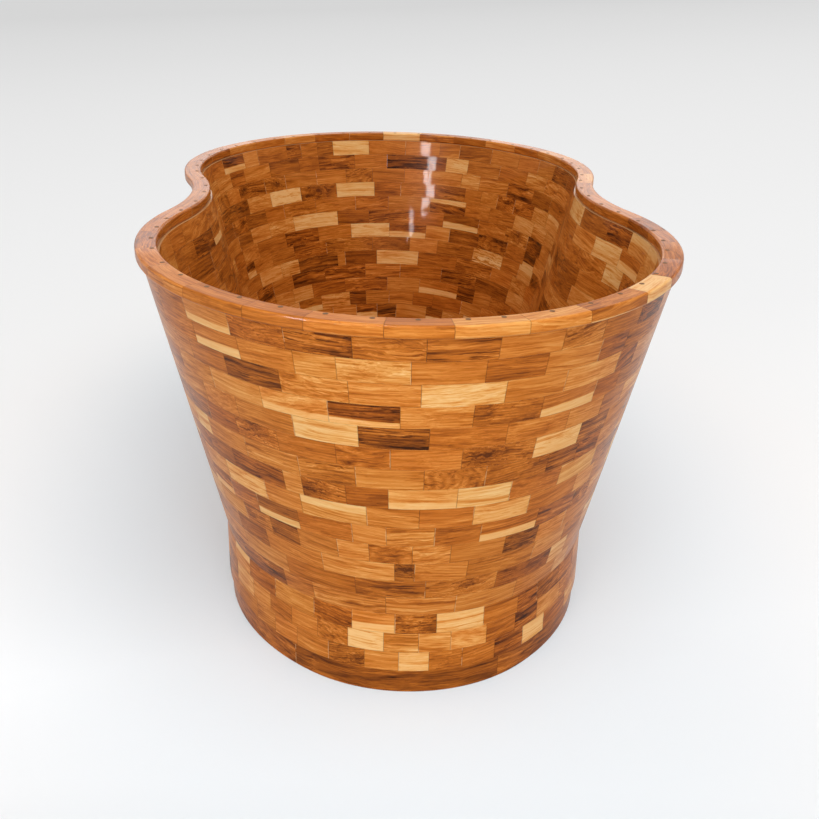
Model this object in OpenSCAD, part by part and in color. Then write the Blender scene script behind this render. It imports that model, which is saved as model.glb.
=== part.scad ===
// Free-standing wooden bathtub: a figure-eight tub laid up from courses of small teak blocks.
// Millimetres, +Z up. The origin is on the floor, under the middle of the tub. The long axis is Y.

/* [Plan, at the outer edge of the rim] */
// Height from the floor to the top of the rim
tub_h = 660; // [620:5:700]
// Half the width of the tub across the waist
waist_half_w = 404; // [390:1:420]
// Radius of the hollow curve at each side of the waist
waist_r = 540; // [480:10:600]
// Turn of the hollow curve, each side of its middle, in degrees
waist_turn = 17; // [15:0.5:19]
// Radius of the curve at the sides of a lobe
side_r = 545; // [525:5:565]
// Turn of that side curve, in degrees
side_turn = 67.5; // [65:0.5:70]

/* [Rim] */
// Width of the rim from its outer to its inner edge
rim_w = 35; // [33:0.5:40]
// Thickness of the rim
rim_t = 19; // [16:0.5:24]
// How far the rim overhangs the outside of the wall
rim_overhang = 8; // [5:0.5:10]
// Bevel along the edges of the rim
rim_bevel = 3; // [1:0.5:4]
// Average length of a rim segment
rim_l = 104; // [80:2:130]
// Diameter of the hardwood dowels that pin the rim down
dowel_d = 8; // [6:0.5:9]
// Length of a dowel
dowel_l = 44; // [36:1:50]
// Distance from the rim's inner edge to the middle of a dowel
dowel_edge = 9; // [8:0.5:11]

/* [Wall] */
// Thickness of the wall blocks
wall_t = 30; // [28:0.5:34]
// How much further in the foot of the wall stands than its top
flare = 116; // [100:1:122]
// Number of courses at the foot that stand upright
upright_courses = 3; // [1:1:5]
// Average length of a wall block, measured along the rim above it
block_l = 98; // [70:1:120]
// Width of the glue line between two blocks
glue = 0.3; // [0.2:0.05:0.5]

/* [Plinth] */
// Height of the plinth ring
plinth_h = 44; // [40:1:56]
// How far the plinth stands in from the wall above it
plinth_inset = 5; // [3:0.5:10]
// Thickness of the plinth ring
plinth_t = 30; // [24:1:34]
// Average length of a plinth segment
plinth_l = 310; // [200:10:400]

/* [Floor] */
// Height of the bathing floor above the ground
floor_z = 112; // [108:1:124]
// Thickness of the floor boards
board_t = 24; // [20:1:28]
// Number of floor boards, side by side
boards = 7; // [5:2:9]
// Width of a bearer under the floor
bearer_w = 45; // [35:1:60]
// Distance from the middle of the tub to the middle bearers
bearer_near = 130; // [100:5:160]
// Distance from one bearer to the next beyond them
bearer_pitch = 190; // [150:5:220]
// Play between a bearer's ends and the plinth
bearer_play = 0.3; // [0.2:0.1:1]

/* [Waste] */
// Diameter of the waste's flange
flange_d = 70; // [64:1:80]
// Thickness of the flange
flange_t = 3; // [2:0.5:4]
// Diameter of the waste's threaded body
waste_d = 46; // [42:1:50]
// Bore of the waste
waste_bore = 38; // [34:1:40]
// Length of the threaded body below the flange
waste_l = 62; // [58:1:70]
// Thickness of the sealing washers
washer_t = 2; // [1.5:0.5:3]
// Width across the flats of the locknut
nut_af = 64; // [60:1:70]
// Thickness of the locknut
nut_t = 9; // [6:1:12]
// Outside diameter of the tail pipe
tail_d = 32; // [28:1:34]
// Wall of the tail pipe
tail_wall = 1.5; // [1:0.5:2]
// Length of the tail pipe below the waste's body
tail_l = 22; // [12:1:26]
// Diameter of the stopper
stopper_d = 60; // [54:1:62]
// Thickness of the stopper
stopper_t = 5; // [3:0.5:7]
// Diameter of the stopper's stem
stem_d = 8; // [6:0.5:10]
// How far the stopper lifts
stopper_lift = 9; // [6:0.5:12]

/* [Hidden] */
courses = 17;
function course_name(k) = str("wall_course_", k < 10 ? "0" : "", k);

// Fineness of full circles and of swept curves
$fn = 72;
sweep_fn = 240;
core_steps = 16;
// Overrun of every cut
cut = 1;

// Centres of the plan's arcs, placed so that each arc runs smoothly into the next one
waist_x = waist_half_w + waist_r;
side_x = waist_x - (waist_r + side_r) * cos(waist_turn);
side_y = (waist_r + side_r) * sin(waist_turn);
end_from = side_turn - waist_turn;
end_r = side_r + side_x / cos(end_from);
end_y = side_y + (side_r - end_r) * sin(end_from);

// The plan as arcs, anticlockwise from the front end. Each arc has its centre, its radius, the
// angle it starts at, how far it turns, and 1 if it is rounded or -1 if it is hollow.
PLAN = [
    [0, -end_y, end_r, 180 + end_from, 180 - 2 * end_from, 1],
    [side_x, -side_y, side_r, -end_from, side_turn, 1],
    [waist_x, 0, waist_r, 180 + waist_turn, -2 * waist_turn, -1],
    [side_x, side_y, side_r, -waist_turn, side_turn, 1],
    [0, end_y, end_r, end_from, 180 - 2 * end_from, 1],
    [-side_x, side_y, side_r, 180 - end_from, side_turn, 1],
    [-waist_x, 0, waist_r, waist_turn, -2 * waist_turn, -1],
    [-side_x, -side_y, side_r, 180 - waist_turn, side_turn, 1]
];
ARCS = [0 : len(PLAN) - 1];
function arc_len(arc) = arc[2] * abs(arc[4]) * PI / 180;

// Heights and insets of the wall. An inset is measured inwards from the rim's outer edge.
wall_top = tub_h - rim_t;
course_h = (wall_top - plinth_h) / courses;
knee_z = plinth_h + upright_courses * course_h;
foot_in = rim_overhang + flare;
function wall_in(z) = rim_overhang + flare * min(1, (wall_top - z) / (wall_top - knee_z));

// How far a joint between two wall blocks strays from even spacing, as a share of a block
stray_share = 0.24;
// Where the top course has its joints, and the rim its dowels, as shares of a rim segment: every
// other segment has two dowels, and the ones between have one
top_joint_share = 0.35;
pair_shares = [0.2, 0.78];
single_shares = [0.5];

// Waste
dowel_glue = 0.15;
waste_play = 0.5;
rebate_play = 1;
slide_play = 0.05;
seal_t = 2;
seal_edge = 4;
hub_d = 16;
hub_t = 10;
hub_drop = 6;
spoke_w = 4;
collar_d = 13;
collar_t = 4;
tail_collar_d = 42;
tail_collar_t = 3;
tail_nut_wall = 5;
tail_nut_grip = 10;
tail_nut_lip = 4;
// The pipe is waisted where the nut's lip turns on it, and a little below the lip
tail_neck_t = 0.5;
tail_neck_below = 1;
board_under = floor_z - board_t;
rebate_z = floor_z - flange_t - washer_t;
flange_z = floor_z - flange_t;
waste_end_z = flange_z - waste_l;
hub_z = floor_z - hub_drop - hub_t;

// A point of one arc of the plan, at a share of the way along it and an inset in from it
function spot(arc, share, inset) =
    let (a = arc[3] + arc[4] * share, r = arc[2] - arc[5] * inset)
    [arc[0] + r * cos(a), arc[1] + r * sin(a)];

// One piece of the ring, between two shares of an arc's length, with half a glue line taken off
// each end. Its section is a list of [inset, height] points.
module piece(arc, from, to, section) {
    off = glue / 2 / arc_len(arc);
    ends = [arc[3] + arc[4] * (from + off), arc[3] + arc[4] * (to - off)];
    translate([arc[0], arc[1], 0])
        rotate([0, 0, min(ends)])
            rotate_extrude(angle = max(ends) - min(ends), $fn = sweep_fn)
                polygon([for (p = section) [arc[2] - arc[5] * p[0], p[1]]]);
}

// The shares at which an arc is cut into pieces of about the given length. With a lead, a share of
// a piece, it starts with that part of one, so that joints are staggered from course to course.
function piece_count(arc, length) = max(1, round(arc_len(arc) / length));
function cuts(n, lead, stray) =
    concat([0], [for (j = [1 : lead > 0 ? n : n - 1]) (j - (lead > 0 ? 1 - lead : 0) + stray[j]) / n], [1]);

// A whole ring of pieces. The seed chooses how the joints stray, by the given share of a piece.
module ring_of_pieces(length, section, lead = 0, stray_share = 0, seed = 0) {
    for (i = ARCS) {
        n = piece_count(PLAN[i], length);
        at = cuts(n, lead, rands(-stray_share, stray_share, n + 1, seed * len(PLAN) + i));
        for (j = [0 : len(at) - 2])
            piece(PLAN[i], at[j], at[j + 1], section);
    }
}

// The inside of the plan as one solid, at a given inset, between two heights
module plan_core(inset, low, high) {
    translate([0, 0, low])
        linear_extrude(high - low)
            polygon([for (arc = PLAN, step = [0 : core_steps - 1])
                spot(arc, step / core_steps, inset)]);
}

module plinth_ring() {
    outer = foot_in + plinth_inset;
    color("#8a4a1c")
        ring_of_pieces(plinth_l,
            [[outer, 0], [outer + plinth_t, 0], [outer + plinth_t, plinth_h], [outer, plinth_h]]);
}

function course_section(k) =
    let (low = plinth_h + (k - 1) * course_h, high = plinth_h + k * course_h)
    let (foot = wall_in(low), head = wall_in(high))
    [[foot, low], [foot + wall_t, low], [head + wall_t, high], [head, high]];

// The top course has its joints clear of the rim's joints and dowels
module wall_course(k) {
    tones = ["#b4692f", "#c07a3c", "#a85f2a"];
    color(tones[k % len(tones)])
        if (k < courses)
            ring_of_pieces(block_l, course_section(k), k % 2 == 0 ? 1 / 2 : 0, stray_share, k);
        else
            difference() {
                ring_of_pieces(rim_l, course_section(k), top_joint_share);
                dowel_places() dowel_bore();
            }
}

// Two dowels and one dowel to a rim segment in turn, near the rim's inner edge
module dowel_places() {
    for (arc = PLAN, j = [0 : piece_count(arc, rim_l) - 1], share = j % 2 == 0 ? pair_shares : single_shares)
        translate(spot(arc, (j + share) / piece_count(arc, rim_l), rim_w - dowel_edge))
            children();
}

module dowel_bore() {
    translate([0, 0, tub_h - dowel_l])
        cylinder(d = dowel_d + 2 * dowel_glue, h = dowel_l + cut);
}

module rim_cap() {
    color("#cf8347")
        difference() {
            ring_of_pieces(rim_l, [
                [0, wall_top + rim_bevel],
                [rim_bevel, wall_top],
                [rim_w, wall_top],
                [rim_w, tub_h - rim_bevel],
                [rim_w - rim_bevel, tub_h],
                [rim_bevel, tub_h],
                [0, tub_h - rim_bevel]
            ]);
            dowel_places() dowel_bore();
        }
}

module rim_dowels() {
    color("#4a3524")
        dowel_places()
            translate([0, 0, tub_h - dowel_l])
                cylinder(d = dowel_d, h = dowel_l);
}

// Boards laid lengthwise, cut to the inside of the wall, with the waste's hole in the middle one
module floor_boards() {
    half_w = side_x + side_r - wall_in(board_under) - wall_t;
    pitch = 2 * half_w / boards;
    color("#9a5726")
        difference() {
            intersection() {
                plan_core(wall_in(board_under) + wall_t + glue, board_under, floor_z);
                for (b = [0 : boards - 1])
                    translate([-half_w + b * pitch + glue / 2, -end_y - end_r, board_under - cut])
                        cube([pitch - glue, 2 * (end_y + end_r), board_t + 2 * cut]);
            }
            translate([0, 0, board_under - cut])
                cylinder(d = waste_d + 2 * waste_play, h = board_t + 2 * cut);
            translate([0, 0, rebate_z])
                cylinder(d = flange_d + 2 * rebate_play, h = flange_t + washer_t + cut);
        }
}

// Bearers across the tub, from the ground to the boards, cut to the inside of the plinth
module floor_bearers() {
    inset = foot_in + plinth_inset + plinth_t + bearer_play;
    color("#7b4a22")
        intersection() {
            plan_core(inset, 0, board_under);
            for (side = [-1, 1], n = [0 : 2])
                translate([-side_r, side * (bearer_near + n * bearer_pitch) - bearer_w / 2, -cut])
                    cube([2 * side_r, bearer_w, board_under + 2 * cut]);
        }
}

module ring(outer_d, inner_d, low, high) {
    translate([0, 0, low])
        difference() {
            cylinder(d = outer_d, h = high - low);
            translate([0, 0, -cut])
                cylinder(d = inner_d, h = high - low + 2 * cut);
        }
}

module hex_ring(across, inner_d, low, high) {
    translate([0, 0, low])
        difference() {
            cylinder(d = across / cos(180 / 6), h = high - low, $fn = 6);
            translate([0, 0, -cut])
                cylinder(d = inner_d, h = high - low + 2 * cut);
        }
}

// Flange and threaded body in one, with the hub that guides the stem on three spokes
module waste_body() {
    color("#c9ccd0")
        union() {
            ring(flange_d, waste_bore, flange_z, floor_z);
            ring(waste_d, waste_bore, waste_end_z, flange_z);
            difference() {
                union() {
                    translate([0, 0, hub_z])
                        cylinder(d = hub_d, h = hub_t);
                    for (a = [0, 120, 240])
                        rotate([0, 0, a])
                            translate([0, -spoke_w / 2, hub_z])
                                cube([(waste_bore + waste_d) / 4, spoke_w, hub_t]);
                }
                translate([0, 0, hub_z - cut])
                    cylinder(d = stem_d + 2 * slide_play, h = hub_t + 2 * cut);
            }
        }
}

module flange_gasket() {
    color("#2b2b2b")
        ring(flange_d, waste_d, rebate_z, flange_z);
}

module under_washer() {
    color("#2b2b2b")
        ring(nut_af, waste_d, board_under - washer_t, board_under);
}

module waste_locknut() {
    color("#b58a45")
        hex_ring(nut_af, waste_d, board_under - washer_t - nut_t, board_under - washer_t);
}

module tail_pipe() {
    collar_z = waste_end_z - tail_collar_t;
    neck_z = collar_z - tail_nut_lip - tail_neck_below;
    color("#c9ccd0")
        union() {
            ring(tail_collar_d, tail_d - 2 * tail_wall, collar_z, waste_end_z);
            ring(tail_d - 2 * tail_neck_t, tail_d - 2 * tail_wall, neck_z, collar_z);
            ring(tail_d, tail_d - 2 * tail_wall, collar_z - tail_l, neck_z);
        }
}

module tail_nut() {
    collar_z = waste_end_z - tail_collar_t;
    across = waste_d + 2 * tail_nut_wall;
    color("#b58a45")
        union() {
            hex_ring(across, waste_d, collar_z, waste_end_z + tail_nut_grip);
            hex_ring(across, tail_d, collar_z - tail_nut_lip, collar_z);
        }
}

module stopper_cap() {
    color("#d5d8dc")
        translate([0, 0, floor_z + seal_t])
            cylinder(d = stopper_d, h = stopper_t);
}

module stopper_seal() {
    color("#2b2b2b")
        ring(stopper_d - 2 * seal_edge, waste_bore + seal_edge, floor_z, floor_z + seal_t);
}

// The stem hangs from the stopper, through the hub, and its collar stops the lift
module stopper_stem() {
    collar_z = hub_z - stopper_lift - collar_t;
    color("#c9ccd0")
        union() {
            translate([0, 0, collar_z])
                cylinder(d = stem_d, h = floor_z + seal_t - collar_z);
            translate([0, 0, collar_z])
                cylinder(d = collar_d, h = collar_t);
        }
}

plinth_ring();
for (k = [1 : courses]) wall_course(k);
rim_cap();
rim_dowels();
floor_boards();
floor_bearers();
waste_body();
flange_gasket();
under_washer();
waste_locknut();
tail_pipe();
tail_nut();
stopper_cap();
stopper_stem();
stopper_seal();
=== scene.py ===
"""A free-standing teak bathtub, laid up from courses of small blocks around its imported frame."""

import math
import random

import bmesh
import bpy
from mathutils import Matrix, Vector


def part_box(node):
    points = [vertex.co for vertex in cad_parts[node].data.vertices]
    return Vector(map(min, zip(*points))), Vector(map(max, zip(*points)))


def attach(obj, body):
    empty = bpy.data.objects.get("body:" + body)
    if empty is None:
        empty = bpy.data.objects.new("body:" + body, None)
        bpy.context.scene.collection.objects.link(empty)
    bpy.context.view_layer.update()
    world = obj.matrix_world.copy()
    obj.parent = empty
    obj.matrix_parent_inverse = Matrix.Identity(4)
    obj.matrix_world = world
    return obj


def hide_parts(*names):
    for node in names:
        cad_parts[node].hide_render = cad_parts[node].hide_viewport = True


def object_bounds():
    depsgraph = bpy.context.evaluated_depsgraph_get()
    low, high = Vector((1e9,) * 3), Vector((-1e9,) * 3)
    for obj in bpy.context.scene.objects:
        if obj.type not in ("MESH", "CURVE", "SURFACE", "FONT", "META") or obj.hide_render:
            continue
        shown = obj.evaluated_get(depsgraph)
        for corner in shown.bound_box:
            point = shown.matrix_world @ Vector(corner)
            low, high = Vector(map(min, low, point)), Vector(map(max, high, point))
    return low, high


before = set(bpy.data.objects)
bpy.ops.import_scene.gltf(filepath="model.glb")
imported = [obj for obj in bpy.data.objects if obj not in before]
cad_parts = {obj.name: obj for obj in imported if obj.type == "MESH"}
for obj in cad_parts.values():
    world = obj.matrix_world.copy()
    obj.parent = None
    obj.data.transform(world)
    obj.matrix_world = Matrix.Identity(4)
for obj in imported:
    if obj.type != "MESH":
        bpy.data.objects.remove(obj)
cad_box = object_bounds()

MM = 0.001
UP = Vector((0, 0, 1))

# The plan at the rim's outer edge, as six driving dimensions
WAIST_HALF_W = 404 * MM
WAIST_R = 540 * MM
WAIST_TURN = math.radians(17)
SIDE_R = 545 * MM
SIDE_TURN = math.radians(67.5)

# Heights and insets that the frame gives
rim_low, rim_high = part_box("rim_cap")
_, plinth_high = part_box("plinth_ring")
dowel_low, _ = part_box("rim_dowels")
COURSES = 17
TUB_H = rim_high.z
WALL_TOP = rim_low.z
PLINTH_H = plinth_high.z
COURSE_H = (WALL_TOP - PLINTH_H) / COURSES

# The wall, as in the construction
RIM_W = 35 * MM
RIM_ROUND = 4 * MM
RIM_TOP = TUB_H - 0.3 * MM
RIM_OVERHANG = 8 * MM
WALL_T = 30 * MM
UPRIGHT_COURSES = 3
FLARE = 116 * MM
PLINTH_INSET = rim_high.y - plinth_high.y
PLINTH_T = 30 * MM
PLINTH_ROUND = 1.5 * MM
GLUE = 0.3 * MM
KNEE_Z = PLINTH_H + UPRIGHT_COURSES * COURSE_H

# About how long a piece is where the rows aren't listed, and by what share of that its ends may
# stray
BLOCK_L = 98 * MM
RIM_L = 104 * MM
PLINTH_L = 310 * MM
STRAY = 0.22
PLINTH_STRAY = 0.1

# The seeds of the random draws. A course's own number is the seed of its blocks' grain.
LAYOUT_SEED = 1000
RIM_SEED = 77
PLINTH_SEED = 5
PLUG_SEED = 31

# How far the face of a piece leans along the wall and upwards, as spreads of its slope. It only
# turns the shading, as hand-sanded blocks do.
BLOCK_LEAN = (0.016, 0.010)
RIM_LEAN = (0.004, 0.002)
PLINTH_LEAN = (0.003, 0.003)

# The most that one facet turns, and the shortest stretch of an arc that gets facets of its own
FACET = math.radians(2.6)
SHORTEST = MM / 100


class Arc:
    """One arc of the plan, at the rim's outer edge. A hollow arc bends inwards."""

    def __init__(self, x, y, radius, start, turn):
        self.centre = Vector((x, y, 0))
        self.radius = radius
        self.start = start
        self.turn = turn
        self.inward = 1 if turn > 0 else -1
        self.length = radius * abs(turn)

    def point(self, along, inset, height):
        angle = self.start + self.turn * along / self.length
        reach = self.radius - self.inward * inset
        return self.centre + Vector((reach * math.cos(angle), reach * math.sin(angle), height))

    def measure(self, point):
        """How far along the arc a point lies, and how far in from the rim's outer edge."""
        out = (point - self.centre).xy
        middle = self.start + self.turn / 2
        turned = math.remainder(math.atan2(out.y, out.x) - middle, math.tau) + self.turn / 2
        return self.length * turned / self.turn, self.inward * (self.radius - out.length)

    def directions(self, point):
        """Outwards from the tub, and along its wall, at a point."""
        out = (point - self.centre) * self.inward
        out.z = 0
        out.normalize()
        return out, UP.cross(out)


def tub_plan():
    """The eight arcs, anticlockwise from the front end, each running smoothly into the next. The
    waist and the sides are given, and the ends follow from them."""
    waist_x = WAIST_HALF_W + WAIST_R
    side_x = waist_x - (WAIST_R + SIDE_R) * math.cos(WAIST_TURN)
    side_y = (WAIST_R + SIDE_R) * math.sin(WAIST_TURN)
    end_from = SIDE_TURN - WAIST_TURN
    end_r = SIDE_R + side_x / math.cos(end_from)
    end_y = side_y + (SIDE_R - end_r) * math.sin(end_from)
    half = math.pi
    return [
        Arc(0, -end_y, end_r, half + end_from, half - 2 * end_from),
        Arc(side_x, -side_y, SIDE_R, -end_from, SIDE_TURN),
        Arc(waist_x, 0, WAIST_R, half + WAIST_TURN, -2 * WAIST_TURN),
        Arc(side_x, side_y, SIDE_R, -WAIST_TURN, SIDE_TURN),
        Arc(0, end_y, end_r, end_from, half - 2 * end_from),
        Arc(-side_x, side_y, SIDE_R, half - end_from, SIDE_TURN),
        Arc(-waist_x, 0, WAIST_R, WAIST_TURN, -2 * WAIST_TURN),
        Arc(-side_x, -side_y, SIDE_R, half - WAIST_TURN, SIDE_TURN),
    ]


PLAN = tub_plan()
AROUND = sum(arc.length for arc in PLAN)


def stretches(start, end):
    """The arcs passed between two places on the rim's edge, measured from the front's middle."""
    place = (start + PLAN[0].length / 2) % AROUND
    left = end - start
    number = 0
    while place >= PLAN[number].length:
        place -= PLAN[number].length
        number += 1
    passed = []
    while left > SHORTEST:
        arc = PLAN[number % len(PLAN)]
        step = min(left, arc.length - place)
        passed.append((arc, place, place + step))
        left -= step
        place = 0
        number += 1
    return passed


def wall_inset(height):
    """How far in from the rim's edge the wall's outer face stands, at a height."""
    return RIM_OVERHANG + FLARE * min(1, (WALL_TOP - height) / (WALL_TOP - KNEE_Z))


def spin_piece(shape, corners, start, end, rounding=0, pieces=4):
    """Spins a section of (inset, height) corners along the plan. Returns the piece's points, and
    the stretches of the arcs that it covers."""
    begin = len(shape.verts)
    path = stretches(start + GLUE / 2, end - GLUE / 2)
    arc, first, _ = path[0]
    ring = [shape.verts.new(arc.point(first, inset, height)) for inset, height in corners]
    face = shape.faces.new(ring)
    if rounding:
        rounded = bmesh.ops.bevel(shape, geom=ring, offset=rounding, offset_type="OFFSET",
                                  segments=pieces, profile=0.5, affect="VERTICES", material=-1)
        face = rounded["verts"][0].link_faces[0]
    loop = [face, *face.edges, *face.verts]
    for arc, first, last in path:
        turn = arc.turn * (last - first) / arc.length
        steps = max(1, math.ceil(abs(turn) / FACET))
        spun = bmesh.ops.spin(shape, geom=loop, cent=arc.centre, axis=UP, dvec=(0, 0, 0),
                              angle=turn, steps=steps, use_merge=False, use_normal_flip=False,
                              use_duplicate=False)
        loop = spun["geom_last"]
    shape.verts.ensure_lookup_table()
    return shape.verts[begin:], path


# Looks of the wood: tone from dark to pale, and how strong its streaks, its figure and its knot are
LOOKS = {
    "plain": (0.53, 0.55, 0.3, 0),
    "light": (0.66, 0.65, 0.3, 0),
    "pale": (0.91, 1.10, 0.3, 0),
    "brown": (0.44, 0.70, 0.4, 0),
    "red": (0.49, 0.50, 0.3, 0),
    "dark": (0.37, 1.70, 0.5, 0),
    "streaky": (0.64, 1.20, 0.4, 0),
    "figured": (0.52, 1.00, 1.0, 0),
    "knotty": (0.49, 1.10, 1.2, 1),
    "zebra": (0.84, 2.60, 0.9, 0),
    "plinth": (0.36, 1.00, 0.4, 0),
}
COMMON = ["plain"] * 10 + ["light"] * 4 + ["brown"] * 6 + ["streaky"] * 4 + ["figured"] * 4
COMMON += ["dark"] * 3 + ["pale", "red", "knotty", "dark/foot", "light/head", "brown/foot"]
RIM_LOOKS = ["plain"] * 5 + ["light"] * 2 + ["brown"] * 3 + ["streaky", "red"]
PLINTH_LOOKS = ["plinth", "plinth", "brown"]

# Blocks listed one by one where the eye rests: the front of the wall outside. For each course, the
# place where the row begins, right of the front's middle, then each block's length along the
# rim and its look, all in millimetres. A look can have a pale strip at its head or foot.
FRONT_ROWS = {
    17: (-515, "100 plain, 105 light/foot, 100 figured, 100 dark, 100 figured, 100 dark, "
               "100 plain, 80 figured, 95 brown"),
    16: (-520, "115 plain, 105 red/foot, 100 plain, 65 light, 105 streaky, 105 plain, 95 brown, "
               "105 light, 70 brown, 110 brown"),
    15: (-485, "50 plain, 95 plain, 110 dark, 110 streaky, 105 streaky, 125 pale, 105 light, "
               "125 light, 60 dark, 100 brown"),
    14: (-500, "110 plain, 115 light, 120 light/foot, 110 dark/foot, 110 light, 115 figured, "
               "115 red/foot, 70 brown, 90 brown"),
    13: (-530, "100 plain, 90 plain, 120 red, 110 pale, 110 dark, 125 plain, 120 light, 90 light, "
               "75 brown"),
    12: (-515, "75 brown, 85 brown, 95 knotty, 110 plain, 90 figured, 115 plain, 130 knotty, "
               "105 pale/foot, 85 dark"),
    11: (-520, "60 pale, 115 plain, 120 streaky, 105 figured, 115 plain, 105 figured, 125 figured, "
               "75 dark, 70 dark"),
    10: (-480, "85 brown, 130 dark, 40 light, 85 knotty, 75 plain, 120 light/foot, 100 pale, "
               "115 plain, 110 light"),
    9: (-435, "115 pale, 85 plain, 130 light/head, 95 streaky, 100 plain, 115 light, 130 brown, "
              "65 light"),
    8: (-440, "85 brown, 105 brown/foot, 115 red, 65 light, 90 streaky, 90 plain, 130 brown/foot, "
              "110 dark, 65 dark"),
    7: (-410, "80 figured, 70 figured, 90 plain, 65 light, 85 figured, 75 streaky, 115 plain, "
              "85 dark, 85 light"),
    6: (-355, "145 plain, 155 light, 40 knotty, 110 plain, 165 plain, 100 light"),
    5: (-450, "140 light, 170 plain, 150 dark, 160 knotty, 160 brown, 65 pale"),
    4: (-485, "155 dark, 80 plain, 175 streaky, 155 streaky, 155 plain, 135 plain, 65 light"),
    3: (-475, "105 brown, 115 light, 100 figured, 100 light/foot, 95 dark, 115 pale/head, "
              "100 light, 65 dark, 90 dark"),
    2: (-460, "70 plain, 70 brown, 75 plain, 80 figured, 85 pale, 80 streaky, 75 streaky, "
              "90 light, 85 brown, 75 dark"),
    1: (-445, "70 red, 70 light, 90 plain, 90 knotty, 80 plain, 70 pale, 80 brown, 85 brown, "
              "90 dark, 75 pale/head"),
}
# The same for the back of the wall inside, from the right of the back's middle to its left
BACK_ROWS = {
    17: (-460, "105 plain, 110 brown, 65 brown, 105 plain, 110 plain, 110 pale, 50 brown, 55 red, "
               "50 dark"),
    16: (-510, "115 plain, 115 plain, 75 pale, 55 brown, 130 dark, 100 plain, 115 dark, 70 brown, "
               "110 brown"),
    15: (-560, "120 dark, 110 streaky, 65 light, 110 light, 80 plain, 100 plain, 85 figured, "
               "100 light, 115 light"),
    14: (-485, "75 knotty, 65 plain, 60 plain, 105 dark, 115 brown, 85 plain, 125 pale, "
               "130 knotty, 120 pale"),
    13: (-500, "110 brown, 95 plain, 130 dark/head, 140 plain, 110 figured, 140 plain, "
               "125 figured"),
    12: (-595, "120 knotty, 120 figured, 135 brown/foot, 105 brown, 155 dark, 110 brown, 170 pale"),
    11: (-495, "130 dark, 115 dark, 90 light, 130 dark/foot, 135 pale, 125 brown, 135 dark, "
               "140 plain"),
    10: (-490, "135 zebra, 145 brown, 105 plain, 135 brown, 175 figured, 135 dark"),
    9: (-450, "155 figured, 155 brown, 155 pale, 120 brown, 30 plain, 165 dark"),
    8: (-560, "170 brown, 150 dark, 165 brown, 135 streaky, 165 dark, 145 dark"),
    7: (-395, "75 dark, 165 brown/foot, 130 plain, 170 dark, 145 brown"),
}
# The rim, in front and at the back, and the plinth's front piece
RIM_ROWS = {
    "front": (-745, "113 brown, 112 plain, 125 plain, 126 plain, 96 plain, 107 light, 90 red, "
                    "102 light, 99 light, 131 brown/foot, 95 pale, 110 brown"),
    "back": (-325, "105 brown, 105 dark, 107 pale, 100 plain, 105 plain, 103 light, 110 light, "
                   "120 plain"),
}
PLINTH_ROW = (-318, "526 plinth")


def laid_row(row, offset=0):
    """A listed row as a list of (start, end, look)."""
    start, text = row
    place = start * MM + offset
    laid = []
    for entry in text.split(", "):
        length, look = entry.split(" ")
        laid.append((place, place + int(length) * MM, look))
        place += int(length) * MM
    return laid


def filled(start, end, length, chance, looks=COMMON, stray=STRAY):
    """Pieces of about one length that fill a gap in a row."""
    count = max(1, round((end - start) / length))
    steps = [n + (chance.uniform(-stray, stray) if 0 < n < count else 0) for n in range(count + 1)]
    places = [start + (end - start) * step / count for step in steps]
    return [(a, b, chance.choice(looks)) for a, b in zip(places, places[1:])]


def whole_row(front, back, length, chance, looks=COMMON):
    """A full turn of pieces: the listed rows, with what comes between them."""
    row = laid_row(front)
    start = row[0][0]
    if back:
        far = laid_row(back, AROUND / 2)
        row += filled(row[-1][1], far[0][0], length, chance, looks) + far
    return row + filled(row[-1][1], start + AROUND, length, chance, looks)


# What each point of a piece carries for its finish: its place from the piece's middle; half the
# piece's length and height, and its figure; its place in the log; its tone, streaks and sapwood
# strip; its place from the knot, and whether there is one; and its warmth, filler and chance.
LAYERS = ("place", "reach", "grain", "look", "knot", "hue")

# How a piece lies in its log: the spread of its lean in plain wood and what full figure adds to
# it, its distance from the heart in millimetres, and half the length of the log in metres
LEAN_SIDEWAYS = (0.02, 0.07)
LEAN_UPWARDS = (0.03, 0.10)
HEART_AWAY = (15, 90)
LOG_HALF = 9

# The spread of tone and of warmth from piece to piece, and which end of it has pale filler
TONE_SPREAD = 0.045
WARMTH_SPREAD = 0.5
FILLED_ENDS = (-1, 0, 0, 0, 0, 1)

# How far from a piece's middle its knot can be, as shares of half its length and height, and the
# knot's size in millimetres
KNOT_ROOM = (0.6, 0.4)
KNOT_SIZE = (6, 10)

# A half height so large that no joint is drawn along the head and foot of a piece
NO_BED = 1.0


def saw_from_log(look, chance):
    """Where in its log a piece was cut: the turn of its grain, and its distance from the heart."""
    lean = Matrix.Identity(3)
    for axis, (plain, more) in (("Y", LEAN_SIDEWAYS), ("Z", LEAN_UPWARDS)):
        lean @= Matrix.Rotation(chance.gauss(0, plain + more * LOOKS[look][2]), 3, axis)
    roll = Matrix.Rotation(chance.uniform(0, math.tau), 3, "X")
    heart = Vector((chance.uniform(-LOG_HALF, LOG_HALF), 0, chance.uniform(*HEART_AWAY) * MM))
    return roll @ lean, heart


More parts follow.
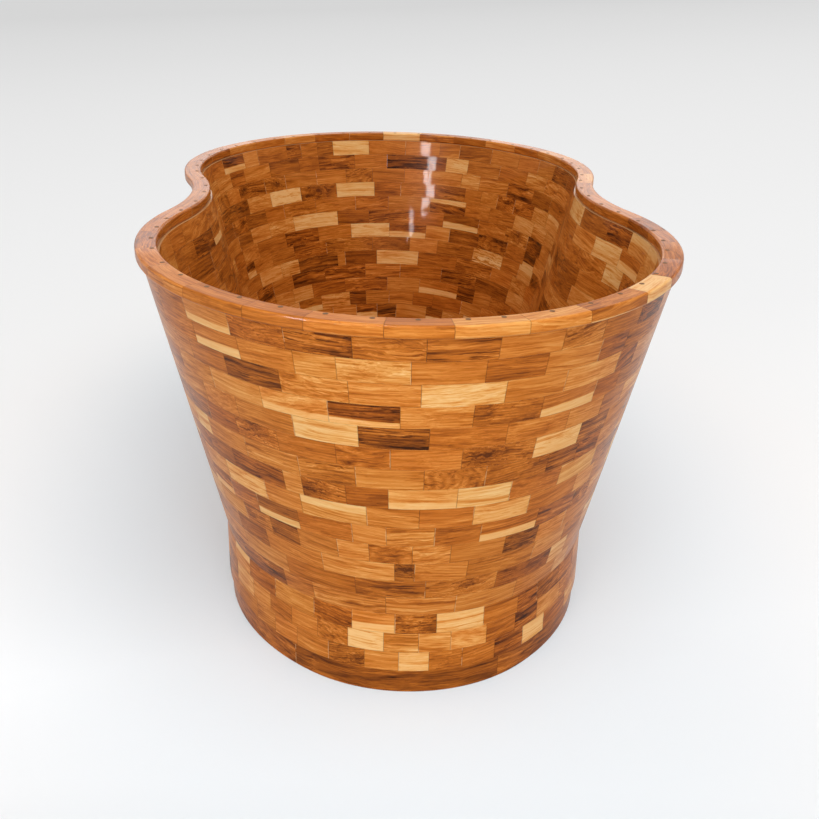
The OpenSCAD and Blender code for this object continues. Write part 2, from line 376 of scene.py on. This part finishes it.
def mark_piece(shape, points, path, middle, halves, look, chance):
    """Writes on each point of a piece what the finish reads there. The middle holds how far in the
    piece's face is at a height, and the height of its middle."""
    name, _, strip = look.partition("/")
    tone, streaks, figure, knot = LOOKS[name]
    tone += chance.gauss(0, TONE_SPREAD)
    turn, heart = saw_from_log(name, chance)
    strip_side = {"": 0, "head": 1, "foot": -1}[strip]
    knot_at = Vector([chance.uniform(-room, room) * half for room, half in zip(KNOT_ROOM, halves)])
    knot_size = chance.uniform(*KNOT_SIZE) * MM
    hue = Vector((chance.gauss(0, WARMTH_SPREAD), chance.choice(FILLED_ENDS), chance.random()))
    place, reach, grain, looks, knots, hues = (shape.verts.layers.float_vector[n] for n in LAYERS)
    passed = 0
    measured = []
    for arc, first, last in path:
        measured.append((arc, first, last, passed))
        passed += last - first
    for point in points:
        best = None
        for arc, first, last, before in measured:
            along, inset = arc.measure(point.co)
            miss = max(first - along, along - last, 0)
            if best is None or miss < best[0]:
                share = (arc.radius - arc.inward * inset) / arc.radius
                best = (miss, before + along - first, inset, share)
        _, along, inset, share = best
        along = (along - passed / 2) * share
        depth = inset - middle[0](point.co.z)
        height = point.co.z - middle[1]
        here = Vector((along, depth, height))
        point[place] = here
        point[reach] = Vector((passed / 2 * share, halves[1], figure))
        point[grain] = turn @ here + heart
        point[looks] = Vector((tone, streaks, strip_side))
        point[knots] = Vector(((along - knot_at.x) / knot_size,
                               (height - knot_at.y) / knot_size, knot))
        point[hues] = hue


def lay_row(shape, row, section, middle, half_height, chance, lean, rounding=0, pieces=4):
    """Lays a row of pieces into a shape, each with its own cut of teak, and returns how far the
    face leans at each point."""
    leans = []
    for start, end, look in row:
        points, path = spin_piece(shape, section, start, end, rounding, pieces)
        halves = ((end - start) / 2, half_height)
        mark_piece(shape, points, path, middle, halves, look, chance)
        leans += [[chance.gauss(0, spread) for spread in lean]] * len(points)
    return leans


def new_shape():
    """An empty shape whose points can carry what a finish reads."""
    shape = bmesh.new()
    for name in LAYERS:
        shape.verts.layers.float_vector.new(name)
    return shape


def add_object(name, data):
    """A new object, linked into the scene."""
    made = bpy.data.objects.new(name, data)
    bpy.context.scene.collection.objects.link(made)
    return made


def finish_piece(shape, name, material, body, replaced):
    """Makes a mesh object of a shape, and hands it to the frame in place of its own nodes."""
    bmesh.ops.recalc_face_normals(shape, faces=shape.faces)
    mesh = bpy.data.meshes.new(name)
    shape.to_mesh(mesh)
    shape.free()
    mesh.materials.append(material)
    piece = add_object(name, mesh)
    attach(piece, body)
    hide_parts(*replaced)
    return piece


# How far in from the rim's edge a point of the tub can lie, what is added to the distance of an
# arc that it can't belong to, and how squarely the end of a piece looks along the wall
NEAR_EDGE = (-0.05, 0.3)
FAR_OFF = 1
END_FACE = 0.7


def nearest_arc(point):
    """The arc of the plan that a point belongs to."""
    def miss(arc):
        along, inset = arc.measure(point)
        beside = NEAR_EDGE[0] < inset < NEAR_EDGE[1]
        return max(-along, along - arc.length, 0) + (0 if beside else FAR_OFF)
    return min(PLAN, key=miss)


def smooth_along(piece, leans, core=None):
    """Gives a ring of pieces the true normals of its curve, so that facets don't show. The leans
    tip each piece a little, and a core, of two (inset, height) corners, rounds its edges."""
    mesh = piece.data
    normals = [None] * len(mesh.loops)
    arcs = [nearest_arc(vertex.co) for vertex in mesh.vertices]
    for polygon in mesh.polygons:
        flat = polygon.normal.copy()
        for loop in polygon.loop_indices:
            vertex = mesh.loops[loop].vertex_index
            at = mesh.vertices[vertex].co
            arc = arcs[vertex]
            out, along = arc.directions(at)
            if abs(flat.dot(along)) > END_FACE:
                normals[loop] = flat
                continue
            normal = flat
            if core:
                _, inset = arc.measure(at)
                low, high = core
                inner = min(max(inset, low[0]), high[0])
                level = min(max(at.z, low[1]), high[1])
                normal = out * (inner - inset) + UP * (at.z - level)
            normal = (normal - along * normal.dot(along)).normalized()
            normal += along * leans[vertex][0] + UP * leans[vertex][1]
            normals[loop] = normal.normalized()
    mesh.polygons.foreach_set("use_smooth", [True] * len(mesh.polygons))
    mesh.normals_split_custom_set(normals)


class Number:
    """A number in a node tree, so that shader maths reads as an expression."""

    def __init__(self, finish, socket):
        self.finish = finish
        self.socket = socket

    def math(self, operation, *others):
        return self.finish.node("ShaderNodeMath", {"operation": operation},
                                dict(enumerate((self, *others))))

    def __add__(self, other):
        return self.math("ADD", other)

    def __sub__(self, other):
        return self.math("SUBTRACT", other)

    def __rsub__(self, other):
        return self.math("MULTIPLY_ADD", -1.0, other)

    def __mul__(self, other):
        return self.math("MULTIPLY", other)

    def __truediv__(self, other):
        return self.math("DIVIDE", other)

    def __pow__(self, other):
        return self.math("POWER", other)

    def __neg__(self):
        return self.math("MULTIPLY", -1.0)

    def __abs__(self):
        return self.math("ABSOLUTE")

    __radd__ = __add__
    __rmul__ = __mul__

    def least(self, other):
        return self.math("MINIMUM", other)

    def most(self, other):
        return self.math("MAXIMUM", other)

    def wave(self):
        """From 0 to 1 and back, once for each whole number."""
        return self.math("MULTIPLY", math.tau).math("SINE") * 0.5 + 0.5

    def rise(self, low, high):
        """0 below the low value, 1 above the high one, and a smooth slope between them."""
        return self.finish.node("ShaderNodeMapRange", {"interpolation_type": "SMOOTHSTEP"},
                                {"Value": self, "From Min": low, "From Max": high})


class Finish:
    """A material, or the world's shader, while its nodes are laid."""

    def __init__(self, name, owner=None):
        self.owner = owner or bpy.data.materials.new(name)
        self.owner.use_nodes = True
        self.tree = self.owner.node_tree
        self.tree.nodes.clear()

    def node(self, kind, settings=None, sockets=None, output=0):
        """Adds a node. Its settings are set first, then the values or links of its sockets."""
        made = self.tree.nodes.new(kind)
        for key, value in (settings or {}).items():
            if key == "stops":
                ramp = made.color_ramp
                while len(ramp.elements) < len(value):
                    ramp.elements.new(1)
                for element, (position, colour) in zip(ramp.elements, value):
                    element.position = position
                    element.color = (*colour, 1)
            else:
                setattr(made, key, value)
        for key, value in (sockets or {}).items():
            target = made.inputs[key]
            if isinstance(value, Number):
                value = value.socket
            if isinstance(value, bpy.types.NodeSocket):
                self.tree.links.new(target, value)
            else:
                target.default_value = value
        if not made.outputs:
            return made
        socket = made.outputs[output]
        return Number(self, socket) if socket.type == "VALUE" else socket

    def attribute(self, name):
        return self.node("ShaderNodeAttribute", {"attribute_name": name}, output="Vector")

    def own_place(self):
        """The place of a point on the object itself, in metres."""
        return self.node("ShaderNodeTexCoord", output="Object")

    def parts(self, vector):
        """The three numbers of a vector."""
        split = self.node("ShaderNodeSeparateXYZ", sockets={0: vector})
        return [Number(self, split.socket.node.outputs[n]) for n in range(3)]

    def vector(self, x, y, z):
        return self.node("ShaderNodeCombineXYZ", sockets={0: x, 1: y, 2: z})

    def noise(self, vector, scales, detail=2, rough=0.5):
        """Noise at a number of lumps a metre along each axis."""
        stretched = self.node("ShaderNodeVectorMath", {"operation": "MULTIPLY"},
                              {0: vector, 1: scales})
        return self.node("ShaderNodeTexNoise", {"noise_dimensions": "3D"},
                         {"Vector": stretched, "Scale": 1.0, "Detail": detail, "Roughness": rough})

    def mix(self, share, first, second, blend="MIX"):
        """A colour between two others."""
        return self.node("ShaderNodeMix", {"data_type": "RGBA", "blend_type": blend},
                         {0: share, 6: first, 7: second}, output=2)

    def tinted(self, colour, tint):
        """A colour with its red, green and blue each multiplied by a share."""
        return self.mix(1.0, colour, (*tint, 1), "MULTIPLY")

    def ramp(self, value, stops):
        return self.node("ShaderNodeValToRGB", {"stops": stops}, {0: value})

    def bump(self, height, distance, strength):
        return self.node("ShaderNodeBump", None,
                         {"Strength": strength, "Distance": distance, "Height": height})

    def surface(self, sockets):
        shader = self.node("ShaderNodeBsdfPrincipled", None, sockets)
        self.node("ShaderNodeOutputMaterial", None, {"Surface": shader})
        return self.owner


# Teak from its darkest streaks to pale sapwood, as shares of linear light
TEAK = [
    (0.00, (0.040, 0.011, 0.002)),
    (0.18, (0.150, 0.037, 0.005)),
    (0.36, (0.340, 0.090, 0.010)),
    (0.52, (0.550, 0.162, 0.019)),
    (0.66, (0.700, 0.250, 0.044)),
    (0.82, (0.840, 0.405, 0.112)),
    (1.00, (0.930, 0.575, 0.240)),
]
JOINT_DARK = (0.070, 0.022, 0.006, 1)
# Pale filler in the joints, also the colour of the painted glare on faces that look up
PALE_FILLER_AND_GLARE = (0.760, 0.440, 0.190, 1)
YEAR_RING = 4.6 * MM

# Tints for the redder and the yellower blocks, and painted shade that darkens the inside of the
# bath
REDDER = (1.0, 0.94, 0.88)
YELLOWER = (0.98, 1.01, 1.03)
INSIDE_PAINTED_SHADE = (0.90, 0.88, 0.84)

# How far from a block's edge a dark joint fades from full to nothing, the same for pale filler,
# and how much each of them wanders
JOINT_FADE = (0.1 * MM, 1.0 * MM)
JOINT_WANDER = 0.6 * MM
FILLER_FADE = (0.4 * MM, 1.5 * MM)
FILLER_WANDER = 1.4 * MM

# Where sapwood begins, above or below the middle of a block's height
SAP_EDGE = (3.8 * MM, 6.6 * MM)


def wood_tone(finish, grain, tone, streaks, figure):
    """The tone of sawn teak at a point of its log: its year rings, streaks, fibres and pores."""
    # The grain wanders on its way along the log, the more so in figured wood
    wander = finish.noise(grain, (7, 22, 22), 2)
    swirl = finish.noise(grain, (22, 40, 40), 3)
    x, y, z = finish.parts(grain)
    bent = y + (wander - 0.5) * 0.012 + (swirl - 0.5) * figure * 0.024
    flow = finish.vector(x, bent, z + (wander - 0.5) * figure * 0.016)

    # Rings round the heart, each with dark late wood, then what runs along the grain, from broad
    # bands to pores
    rings = (bent * bent + z * z) ** 0.5 / YEAR_RING + (wander - 0.5) * 2.0
    late = rings.wave() ** 1.6
    bands = finish.noise(flow, (5, 80, 80), 3, 0.6)
    veins = finish.noise(flow, (8, 230, 230), 3, 0.65)
    fibres = finish.noise(flow, (18, 620, 620), 2, 0.6)
    pores = finish.noise(flow, (60, 1500, 1500), 1).rise(0.63, 0.74)
    dark = veins.rise(0.54, 0.66) * bands.rise(0.36, 0.60)
    return (tone + 0.04
            + (bands - 0.5) * (streaks * 0.60 + 0.26)
            + (veins - 0.5) * (streaks * 0.55 + 0.48)
            - dark * (streaks * 0.30 + 0.06)
            - late * (bands * 1.6).least(1.0) * (figure * 0.07 + 0.05)
            + (fibres - 0.5) * 0.32
            - pores * 0.12
            + (swirl - 0.5) * figure * 0.34)


def block_teak(name, joint_share=1.0, ledge_glare=0.0):
    """Lacquered teak for pieces that carry their own grain, look and edges. The ledge share is a
    painted highlight, pale glare on the faces that look up."""
    finish = Finish(name)
    grain = finish.attribute("grain")
    along, depth, height = finish.parts(finish.attribute("place"))
    half_length, half_height, figure = finish.parts(finish.attribute("reach"))
    tone, streaks, strip = finish.parts(finish.attribute("look"))
    knot_x, knot_y, knot = finish.parts(finish.attribute("knot"))
    warmth, filler, chance = finish.parts(finish.attribute("hue"))

    # A knot: dark and cracked at its heart, with the grain thrown round it
    rough = finish.noise(grain, (70, 110, 110), 3, 0.6)
    far = (knot_x * knot_x * 0.3 + knot_y * knot_y) ** 0.5 + (rough - 0.5) * 2.6
    near = (1 - far.rise(0.2, 3.0)) * knot
    pushed = finish.vector(near * 0.006, near * knot_y * 0.010, (rough - 0.5) * near * 0.020)
    flow = finish.node("ShaderNodeVectorMath", {"operation": "ADD"}, {0: grain, 1: pushed})
    shade = wood_tone(finish, flow, tone, streaks, figure)
    shade = shade - near * 0.08 - (1 - far.rise(0.0, 1.0)) * knot * 0.15
    shade = (shade - near * (far * 1.3).wave() * 0.12).most(knot * 0.13)

    # A strip of sapwood along the head or the foot of a block
    edge = finish.noise(grain, (10, 300, 300), 2, 0.6)
    reach = (height * strip + (edge - 0.5) * 0.006
             + along * (chance - 0.5) * 0.05 + (chance - 0.5) * 0.005)
    sap = reach.rise(*SAP_EDGE) * abs(strip)
    shade = shade + sap * (0.91 - tone - (shade - tone) * 0.40)
    colour = finish.ramp(shade, TEAK)
    redder = finish.tinted(colour, REDDER)
    yellower = finish.tinted(colour, YELLOWER)
    colour = finish.mix(warmth.rise(-0.9, 0.9), yellower, redder)

    # Painted shade: the wood is darkened towards the inner faces, on the inside of the bath
    colour = finish.mix((depth / WALL_T).rise(0.3, 0.7), colour, finish.tinted(colour, INSIDE_PAINTED_SHADE))

    # Fine joint lines, most of them dark, some with pale filler at one end of the block
    wobble = finish.noise(grain, (160, 160, 160), 1)
    breaks = finish.noise(grain, (45, 90, 90), 2)
    wander = (wobble - 0.5) * JOINT_WANDER
    bed = 1 - (half_height - abs(height) + wander).rise(*JOINT_FADE)
    end = 1 - (half_length - abs(along) + wander).rise(*JOINT_FADE)
    line = (bed * breaks.rise(0.34, 0.70) * 0.40).most(end * (breaks * 0.5 + 0.06)) * joint_share
    colour = finish.mix(line, colour, JOINT_DARK)
    to_end = half_length - along * filler + (wobble - 0.5) * FILLER_WANDER
    pale = (1 - to_end.rise(*FILLER_FADE)) * abs(filler) * breaks.rise(0.36, 0.56)
    colour = finish.mix(pale * joint_share * 0.7, colour, PALE_FILLER_AND_GLARE)
    # Painted highlight: pale glare on the top faces, such as the ledge under the rim
    glare_on_top = (height - half_height).rise(-0.10 * MM, -0.02 * MM)
    colour = finish.mix(glare_on_top * ledge_glare, colour, PALE_FILLER_AND_GLARE)

    # Fine fibres under a lacquer that isn't quite level, and sinks at joints and knots
    fine = finish.noise(grain, (30, 600, 600), 2)
    lacquer = finish.noise(grain, (25, 25, 25), 2)
    relief = fine * 0.06 + lacquer * 0.8 - line * 0.5 - (1 - far.rise(0.0, 0.8)) * knot * 0.3
    return finish.surface({
        "Base Color": colour,
        "Roughness": 0.34 + (lacquer - 0.5) * 0.10 + (fine - 0.5) * 0.08,
        "Specular IOR Level": 0.03,
        "Coat Weight": 0.30 - line * 0.27,
        "Coat IOR": 1.25,
        "Coat Roughness": 0.05,
        "Normal": finish.bump(relief, 0.0006, 0.6),
    })


def lay_courses(material):
    """Seventeen courses of blocks, each block a closed piece."""
    for number in range(1, COURSES + 1):
        row = whole_row(FRONT_ROWS[number], BACK_ROWS.get(number), BLOCK_L,
                        random.Random(LAYOUT_SEED + number))
        low = PLINTH_H + (number - 1) * COURSE_H
        high = low + COURSE_H
        section = [(wall_inset(low), low), (wall_inset(low) + WALL_T, low),
                   (wall_inset(high) + WALL_T, high), (wall_inset(high), high)]
        shape = new_shape()
        leans = lay_row(shape, row, section, (wall_inset, (low + high) / 2), COURSE_H / 2,
                        random.Random(number), BLOCK_LEAN)
        piece = finish_piece(shape, f"wall_blocks_{number:02d}", material, "tub",
                             [f"wall_course_{number:02d}"])
        smooth_along(piece, leans)


def lay_rim(material):
    """The rim on top of the wall: rounded segments, butted end to end."""
    chance = random.Random(RIM_SEED)
    row = whole_row(RIM_ROWS["front"], RIM_ROWS["back"], RIM_L, chance, RIM_LOOKS)
    section = [(0, WALL_TOP), (RIM_W, WALL_TOP), (RIM_W, RIM_TOP), (0, RIM_TOP)]
    middle = (lambda height: RIM_W / 2, (WALL_TOP + TUB_H) / 2)
    shape = new_shape()
    leans = lay_row(shape, row, section, middle, NO_BED, chance, RIM_LEAN, RIM_ROUND)
    piece = finish_piece(shape, "rim_segments", material, "tub", ["rim_cap"])
    core = ((RIM_ROUND, WALL_TOP + RIM_ROUND), (RIM_W - RIM_ROUND, RIM_TOP - RIM_ROUND))
    smooth_along(piece, leans, core)


# The plugs near the rim's inner edge that show at the front, in millimetres right of its middle
PLUGS = (-626, -532, -451, -373, -299, -223, -152, -85, -22,
         47, 99, 176, 250, 322, 392, 460, 532, 620)
PLUG_INSET = 26 * MM
PLUG_R = 3.9 * MM
PLUG_SIDES = 16
PLUG_BEVEL = 0.25 * MM
# About how far apart the others are, and by how many millimetres each of them strays
PLUG_PITCH = 74 * MM
PLUG_STRAY = 6


def lay_plugs(material):
    """The round plugs over the dowels that pin the rim to the wall, the front ones listed one by
    one.
    """
    chance = random.Random(PLUG_SEED)
    places = [place * MM for place in PLUGS]
    gap = places[0] + AROUND - places[-1]
    count = round(gap / PLUG_PITCH)
    places += [places[-1] + gap * n / count + chance.uniform(-PLUG_STRAY, PLUG_STRAY) * MM
               for n in range(1, count)]
    depth = TUB_H - dowel_low.z
    shape = new_shape()
    for place in places:
        arc, first, _ = stretches(place, place + MM)[0]
        top = arc.point(first, PLUG_INSET, TUB_H)
        plug = bmesh.ops.create_cone(shape, cap_ends=True, segments=PLUG_SIDES, radius1=PLUG_R,
                                     radius2=PLUG_R, depth=depth,
                                     matrix=Matrix.Translation(top - UP * depth / 2))
        upper = [v for v in plug["verts"] if v.co.z > TUB_H - MM]
        edge = [e for e in shape.edges if e.verts[0] in upper and e.verts[1] in upper]
        bmesh.ops.bevel(shape, geom=edge, offset=PLUG_BEVEL, offset_type="OFFSET", segments=1,
                        profile=0.5, affect="EDGES", material=-1)
    finish_piece(shape, "rim_plugs", material, "tub", ["rim_dowels"])


def lay_plinth(material):
    """The plinth ring that the wall stands on, set in a little from it."""
    chance = random.Random(PLINTH_SEED)
    row = laid_row(PLINTH_ROW)
    row += filled(row[-1][1], row[0][0] + AROUND, PLINTH_L, chance, PLINTH_LOOKS, PLINTH_STRAY)
    section = [(PLINTH_INSET, 0), (PLINTH_INSET + PLINTH_T, 0),
               (PLINTH_INSET + PLINTH_T, PLINTH_H), (PLINTH_INSET, PLINTH_H)]
    middle = (lambda height: PLINTH_INSET, PLINTH_H / 2)
    shape = new_shape()
    leans = lay_row(shape, row, section, middle, NO_BED, chance, PLINTH_LEAN, PLINTH_ROUND, 2)
    piece = finish_piece(shape, "plinth_segments", material, "tub", ["plinth_ring"])
    core = ((PLINTH_INSET + PLINTH_ROUND, PLINTH_ROUND),
            (PLINTH_INSET + PLINTH_T - PLINTH_ROUND, PLINTH_H - PLINTH_ROUND))
    smooth_along(piece, leans, core)


# The blocks get a painted highlight, pale glare, on the faces that look up
lay_courses(block_teak("lacquered_teak_blocks", ledge_glare=0.65))
lay_rim(block_teak("lacquered_teak_rim"))
lay_plinth(block_teak("lacquered_teak_plinth", 1.3))


# The floor's boards and the spacing of its bearers, and how far from the end of a board's pitch
# the dark of a seam begins and is full
BOARDS = 7
BEARER_PITCH = 190 * MM
SEAM_FADE = (1.6 * MM, 0.8 * MM)


def board_teak(name, across, pitch, tone, gloss, seams=0.0):
    """Teak for boards that lie side by side along one axis, told apart by their place across it."""
    finish = Finish(name)
    place = finish.own_place()
    x, y, z = finish.parts(place)
    side, run = (x, y) if across == "x" else (y, x)
    number = (side / pitch + 0.5).math("FLOOR")
    off_middle = abs(side - number * pitch)
    seam = off_middle.rise(*(pitch / 2 - fade for fade in SEAM_FADE)) * seams

    # Each board comes from its own place in the log
    chance = finish.node("ShaderNodeTexWhiteNoise", {"noise_dimensions": "1D"}, {"W": number})
    grain = finish.vector(run + chance * 7.0, side - number * pitch * 0.6,
                          z + chance * 0.05 + 0.02)
    shade = wood_tone(finish, grain, chance * 0.26 + tone, 0.9, 0.5)
    lacquer = finish.noise(place, (25, 25, 25), 2)
    fine = finish.noise(grain, (20, 400, 400), 2)
    return finish.surface({
        "Base Color": finish.mix(seam, finish.ramp(shade, TEAK), JOINT_DARK),
        "Roughness": gloss + (lacquer - 0.5) * 0.12,
        "Specular IOR Level": 0.2,
        "Coat Weight": 0.4 - gloss * 0.6,
        "Coat IOR": 1.30,
        "Coat Roughness": 0.12,
        "Normal": finish.bump(fine * 0.3 - seam, 0.0010, 0.6),
    })


def plug_wood():
    """Dark hardwood, seen on its end grain."""
    finish = Finish("plug_end_grain")
    place = finish.own_place()
    spots = finish.noise(place, (900, 900, 900), 3)
    stops = [(0.2, (0.110, 0.046, 0.014)), (0.8, (0.260, 0.120, 0.038))]
    return finish.surface({
        "Base Color": finish.ramp(spots, stops),
        "Roughness": 0.45 + spots * 0.2,
        "Specular IOR Level": 0.14,
    })


def metal(name, colour, rough):
    """Plated or turned metal, with faint turning marks and darker water stains."""
    finish = Finish(name)
    place = finish.own_place()
    marks = finish.noise(place, (60, 60, 900), 2)
    stains = finish.noise(place, (35, 35, 35), 3)
    darker = tuple(c * 0.82 for c in colour)
    return finish.surface({
        "Base Color": finish.mix(stains.rise(0.45, 0.75), (*colour, 1), (*darker, 1)),
        "Metallic": 1.0,
        "Roughness": rough + (stains - 0.5) * 0.12,
        "Normal": finish.bump(marks, 0.0001, 0.4),
    })


def rubber():
    """Black rubber with a faint grey bloom."""
    finish = Finish("black_rubber")
    place = finish.own_place()
    bloom = finish.noise(place, (140, 140, 140), 3)
    stops = [(0.2, (0.016, 0.016, 0.017)), (0.9, (0.050, 0.048, 0.046))]
    return finish.surface({
        "Base Color": finish.ramp(bloom, stops),
        "Roughness": 0.62 + (bloom - 0.5) * 0.2,
        "Normal": finish.bump(bloom, 0.0002, 0.5),
    })


def dress(node, material):
    """Puts a finish on a node of the frame that keeps its own shape."""
    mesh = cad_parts[node].data
    mesh.materials.clear()
    mesh.materials.append(material)


chrome = metal("polished_chrome", (0.78, 0.79, 0.80), 0.10)
brass = metal("turned_brass", (0.72, 0.50, 0.22), 0.28)
seal_rubber = rubber()
board_low, board_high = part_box("floor_boards")
board_pitch = (board_high.x - board_low.x) / BOARDS
dress("floor_boards", board_teak("floor_teak", "x", board_pitch, 0.30, 0.34, 0.8))
dress("floor_bearers", board_teak("bearer_wood", "y", BEARER_PITCH, 0.26, 0.6))
lay_plugs(plug_wood())
for node in ("waste_body", "tail_pipe", "stopper_cap", "stopper_stem"):
    dress(node, chrome)
for node in ("waste_locknut", "tail_nut"):
    dress(node, brass)
for node in ("flange_gasket", "under_washer", "stopper_seal"):
    dress(node, seal_rubber)


# The camera, at the photograph's place
CAMERA_PLACE = Vector((-0.1274, -2.0849, 1.0781))
CAMERA_YAW = math.radians(4.37)
CAMERA_PITCH = math.radians(22.86)
CAMERA_ROLL = math.radians(1.21)
CAMERA_LENS = 46.53
CAMERA_SENSOR = 36


def place_camera():
    """Stands the camera where the photograph was taken from."""
    camera = add_object("camera", bpy.data.cameras.new("camera"))
    camera.data.sensor_width = CAMERA_SENSOR
    camera.data.lens = CAMERA_LENS
    yaw = Matrix.Rotation(-CAMERA_YAW, 4, "Z")
    pitch = Matrix.Rotation(math.pi / 2 - CAMERA_PITCH, 4, "X")
    roll = Matrix.Rotation(CAMERA_ROLL, 4, "Z")
    camera.matrix_world = Matrix.Translation(CAMERA_PLACE) @ (yaw @ pitch) @ roll
    bpy.context.scene.camera = camera


# Each softbox: its place, what it faces, its width, height and watts, and whether it lights
# surfaces or only shows in their gloss
SOFTBOXES = {
    "key_softbox": ((-0.3, -2.2, 1.05), (0, -0.83, 0.55), 1.6, 0.6, 13.4, "fill"),
    "tall_softbox": ((-2.35, -2.35, 1.15), (0.1, 0.8, 0.45), 0.5, 1.6, 230, "highlight"),
    "low_softbox": ((-1.75, -3.2, 1.20), (0, 0.75, 0.40), 0.30, 0.60, 36, "highlight"),
    "rear_softbox": ((-0.2, 5.0, 1.7), (0, 0, 0.6), 6.5, 0.8, 28, "highlight"),
    "top_softbox": ((-0.5, -1.3, 3.2), (-0.1, -0.7, 0.6), 0.5, 0.5, 60, "highlight"),
}
SUN_POWER = 1.09
SUN_WIDTH = math.radians(60)
SUN_TURN = (math.radians(24), math.radians(9), 0)
ROOM_LIGHT = 0.64
ROOM_GREY = (0.68, 0.68, 0.68, 1)


def area_light(name, place, target, width, height, power, kind):
    """A softbox, turned to its target, that the camera doesn't see."""
    light = bpy.data.lights.new(name, "AREA")
    light.shape = "RECTANGLE"
    light.size = width
    light.size_y = height
    light.energy = power
    lamp = add_object(name, light)
    lamp.location = place
    lamp.rotation_euler = (Vector(target) - Vector(place)).to_track_quat("-Z", "Y").to_euler()
    lamp.visible_camera = False
    lamp.visible_diffuse = kind == "fill"
    lamp.visible_glossy = kind == "highlight"


def seen_straight(finish):
    """1 where a surface is seen, straight or in a mirror or through glass, and 0 where it only
    lights another one."""
    path = finish.node("ShaderNodeLightPath")
    kinds = path.socket.node.outputs
    camera, glossy, clear = (Number(finish, kinds[f"Is {kind} Ray"])
                             for kind in ("Camera", "Glossy", "Transmission"))
    return camera.most(glossy).most(clear)


def light_scene():
    """A soft sun from above, softboxes, and a pale room all round."""
    sun = add_object("soft_sun", bpy.data.lights.new("soft_sun", "SUN"))
    sun.data.energy = SUN_POWER
    sun.data.angle = SUN_WIDTH
    sun.rotation_euler = SUN_TURN
    for name, settings in SOFTBOXES.items():
        area_light(name, *settings)

    room = Finish("pale_room", bpy.data.worlds.new("pale_room"))
    bpy.context.scene.world = room.owner
    lit = room.node("ShaderNodeBackground", None,
                    {"Color": (1.0, 1.0, 1.0, 1), "Strength": ROOM_LIGHT})
    shown = room.node("ShaderNodeBackground", None, {"Color": ROOM_GREY, "Strength": 1.0})
    both = room.node("ShaderNodeMixShader", None, {0: seen_straight(room), 1: lit, 2: shown})
    room.node("ShaderNodeOutputWorld", None, {"Surface": both})


# Half the size of the floor, the length over which it fades, and its greys, by the square root of
# the share of that length. The low greys at the start are painted shade against the key softbox's
# light.
FLOOR_HALF = 150
FLOOR_LENGTH = 28.0
FLOOR_GREYS = [(place, (grey,) * 3) for place, grey in (
    (0.21, 0.83), (0.222, 0.90), (0.232, 0.93), (0.25, 1.00), (0.30, 0.97),
    (0.34, 0.93), (0.44, 0.89), (0.586, 0.835), (0.739, 0.775), (1.00, 0.70),
)]
# Where the fading starts, near the foot of the key softbox, how little a metre sideways counts
# against a metre away, how fast the part with painted light on the right widens, and how strong
# it and the painted shade in the near left corner are
NEAR_X = -0.2
NEAR_Y = -2.3
SIDEWAYS = 0.3
WIDENING = 0.55
PAINTED_LIGHT_RIGHT = 0.022
PAINTED_SHADE_CORNER = 0.02
# What the floor gives by itself, what it gives back to the tub, and a cool tint by the tub,
# painted against the warm light that the teak throws on the paper
FLOOR_GLOW = 0.17
FLOOR_BOUNCE = (0.45, 0.45, 0.45, 1)
WARM_BOUNCE_OFFSET = (0.85, 0.94, 1.0)


def lay_ground():
    """The floor of the studio, a sheet of pale paper that fades away from the camera, with painted
    shade under the key softbox and in the near left corner, and painted light on the right.
    """
    shape = bmesh.new()
    bmesh.ops.create_grid(shape, x_segments=1, y_segments=1, size=FLOOR_HALF)
    mesh = bpy.data.meshes.new("studio_floor")
    shape.to_mesh(mesh)
    shape.free()
    paper = Finish("studio_floor")
    x, y, _ = paper.parts(paper.own_place())
    across = x - NEAR_X
    ahead = y - NEAR_Y
    away = (across * across * SIDEWAYS + ahead * ahead) ** 0.5

    # Painted light on the right behind the tub's front, which lifts the floor and the tub's shadow
    # there, and painted shade in the near left corner of the picture, against the key softbox's
    # light
    widest = ahead.most(0.0) * WIDENING
    side = x.most(-widest).least(widest)
    right = side * y.rise(-1.0, 0.0) * PAINTED_LIGHT_RIGHT
    corner = (-side).most(0.0) * (1 - y.rise(-1.2, -0.6)) * PAINTED_SHADE_CORNER
    grey = paper.ramp((away / FLOOR_LENGTH) ** 0.5 - right - corner, FLOOR_GREYS)

    # Near the tub a cool tint takes out the warm light that the teak throws on the paper
    seen = seen_straight(paper)
    around = ((x / cad_box[1].x) ** 2 + (y / cad_box[1].y) ** 2) ** 0.5
    shaded = paper.mix(1 - around.rise(0.9, 2.3), grey, paper.tinted(grey, WARM_BOUNCE_OFFSET))
    matt = paper.node("ShaderNodeBsdfDiffuse", None,
                      {"Color": paper.mix(seen, FLOOR_BOUNCE, shaded)})
    glow = paper.node("ShaderNodeEmission", None, {"Color": grey, "Strength": 1.0})
    both = paper.node("ShaderNodeMixShader", None, {0: seen * FLOOR_GLOW, 1: matt, 2: glow})
    paper.node("ShaderNodeOutputMaterial", None, {"Surface": both})
    mesh.materials.append(paper.owner)
    ground = add_object("studio_floor", mesh)


place_camera()
light_scene()
lay_ground()
bpy.context.scene.view_settings.view_transform = "Standard"
